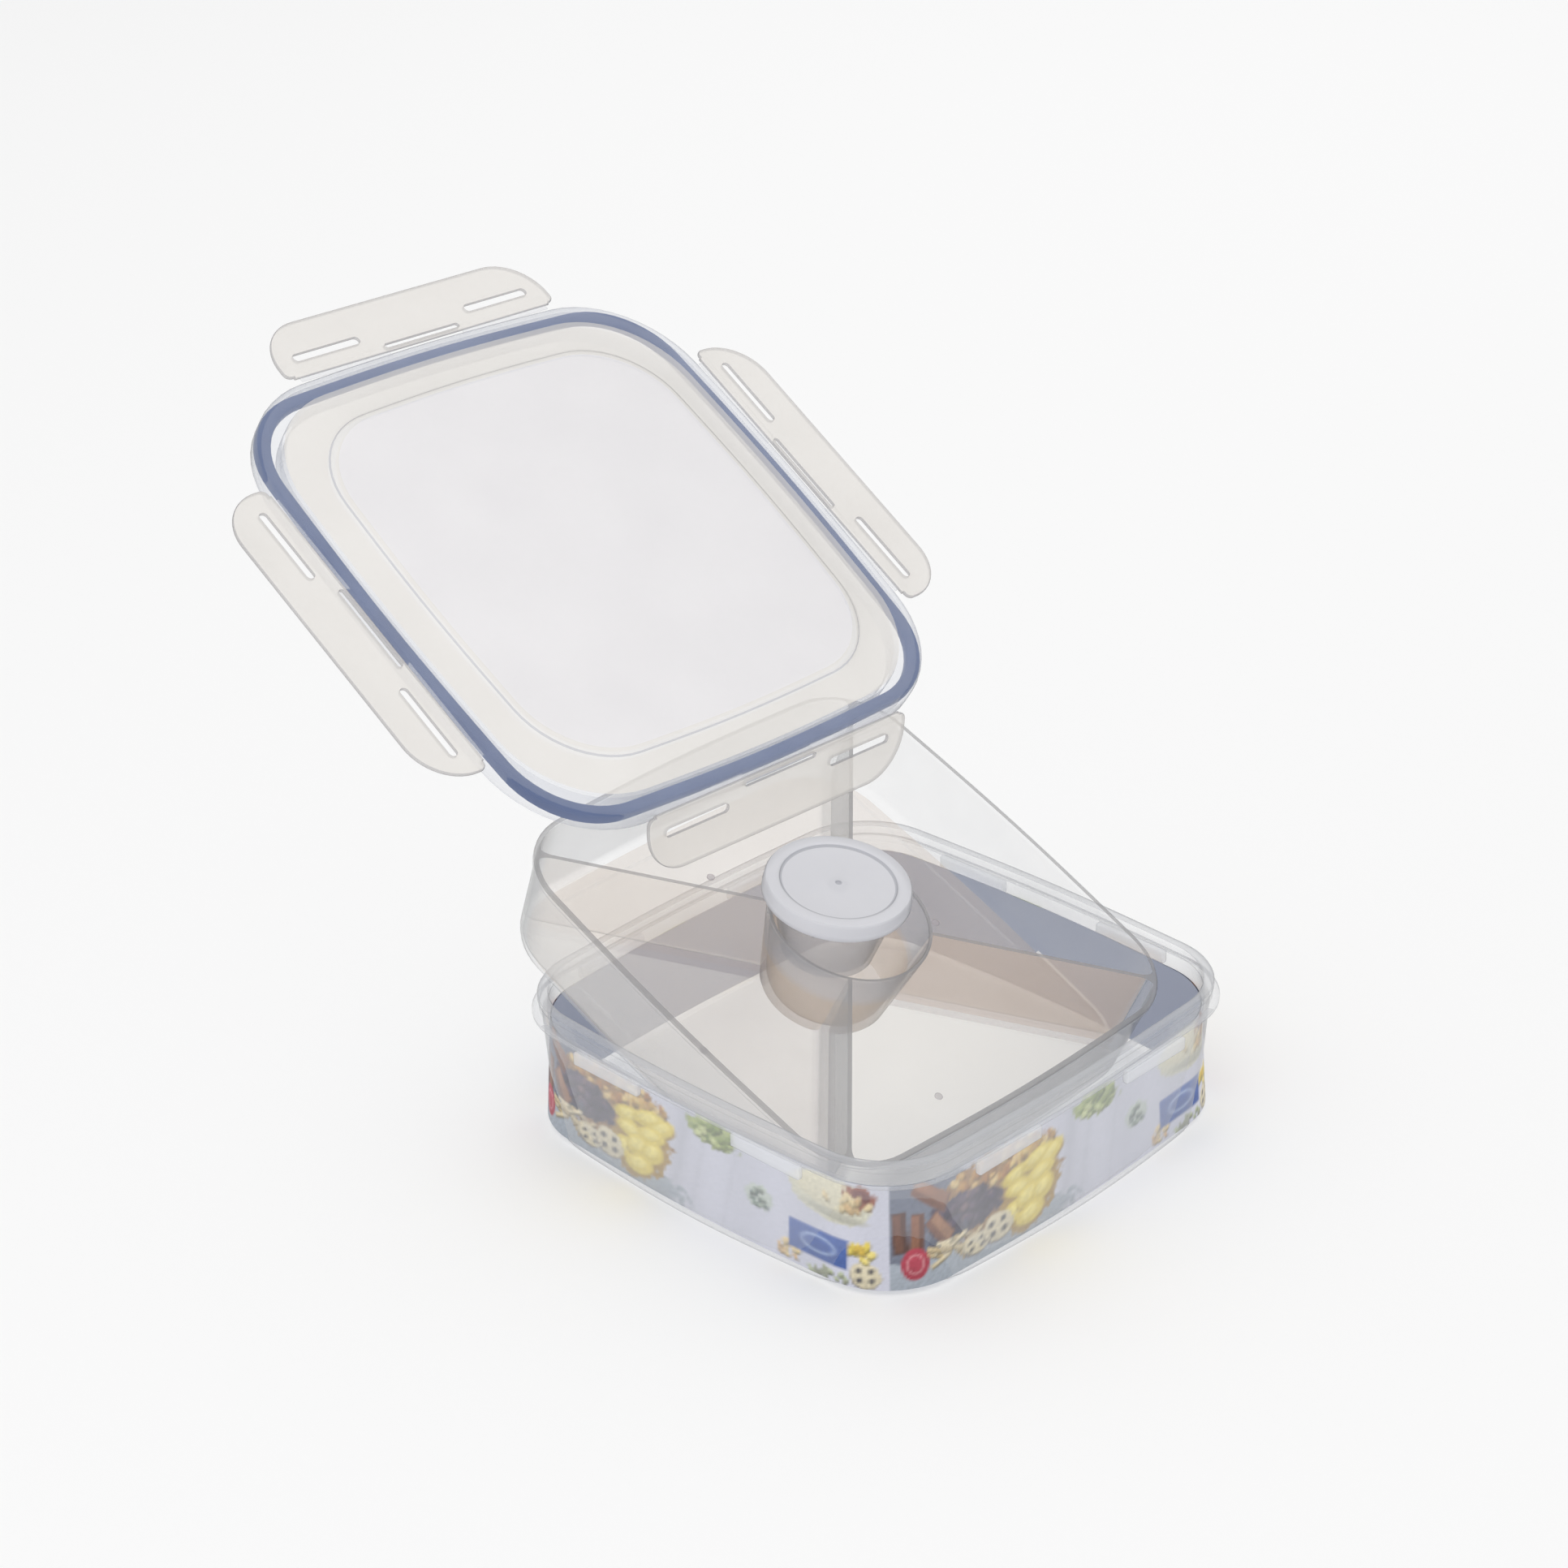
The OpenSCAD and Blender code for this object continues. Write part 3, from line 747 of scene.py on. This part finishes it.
def wing_model(name):
    """A wing that lies along X and reaches towards -Y from its hinge line."""
    bpy.ops.mesh.primitive_plane_add(size=1)
    wing = edit_new(name)
    bpy.ops.transform.resize(value=(wing_length * MM, wing_width * MM, 1))
    bpy.ops.transform.translate(value=(0, -wing_width / 2 * MM, 0))
    select_where("verts", lambda v: v.co.y < -1 * MM)
    bpy.ops.mesh.bevel(offset=tip_round * MM, offset_pct=0, segments=14, affect="VERTICES")
    select_where("verts", lambda v: v.co.y > -0.1 * MM)
    bpy.ops.mesh.bevel(offset=root_round * MM, offset_pct=0, segments=5, affect="VERTICES")
    bpy.ops.mesh.select_all(action="SELECT")
    lift(-wing_thickness / 2)
    bpy.ops.mesh.extrude_region_move(TRANSFORM_OT_translate={"value": (0, 0, wing_thickness * MM)})
    select_where("faces", lambda f: abs(f.normal.z) > 0.9)
    bpy.ops.mesh.bevel(offset=0.7 * MM, offset_pct=0, segments=3, affect="EDGES")
    select_where("faces", lambda f: f.normal.z > 0.9 and f.calc_area() > 1e-4)
    bpy.ops.mesh.inset(thickness=rim_width * MM)
    bpy.ops.transform.translate(value=(0, 0, -rim_drop * MM))
    bpy.ops.object.mode_set(mode="OBJECT")
    bpy.ops.mesh.primitive_cylinder_add(vertices=24, radius=MM, depth=(wing_length - 8) * MM)
    hinge_bead = bpy.context.object
    hinge_bead.data.transform(Matrix.Rotation(math.radians(90), 4, "Y"))
    apply_boolean(wing, hinge_bead, "UNION")
    for side in (-1, 1):
        apply_boolean(wing, slot_cutter((side * slot_offset, -slot_back), slot_size), "DIFFERENCE")
    apply_boolean(wing, slot_cutter((0, -film_slot_back), film_slot_size), "DIFFERENCE")
    finish_mesh(wing, 40)
    lets_light_through(wing)
    wing.data.materials.append(wing_plastic)
    edge_faces(wing, wing_edge_shade, lambda f: abs(f.normal.z) < 0.75)
    return wing


hinge_reach = lid_half + film_gap
for name, quarter, hang in (("front", 0, 60), ("right", 1, 0), ("back", 2, 0), ("left", 3, 0)):
    wing = wing_model("wing_" + name)
    hinge_line = Matrix.Translation((0, -hinge_reach * MM, -MM))
    to_side = lid_place @ Matrix.Rotation(math.radians(90 * quarter), 4, "Z") @ hinge_line
    wing.data.transform(to_side @ Matrix.Rotation(math.radians(hang), 4, "X"))
    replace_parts(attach(wing, "wing_" + name), "wing_" + name)
    bpy.ops.mesh.primitive_cube_add(size=1)
    film = edit_new("film_hinge_" + name)
    bpy.ops.transform.resize(value=((wing_length - 12) * MM, 2.3 * MM, 0.5 * MM))
    bpy.ops.mesh.bevel(offset=0.15 * MM, offset_pct=0, segments=2, affect="EDGES")
    bpy.ops.object.mode_set(mode="OBJECT")
    film.data.transform(Matrix.Translation((0, 1.85 * MM, 0)))
    apply_boolean(film, slot_cutter((0, 0), (42, 9)), "DIFFERENCE")
    finish_mesh(film)
    lets_light_through(film)
    film.data.materials.append(film_plastic)
    film.data.transform(to_side)
    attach(film, "lid")
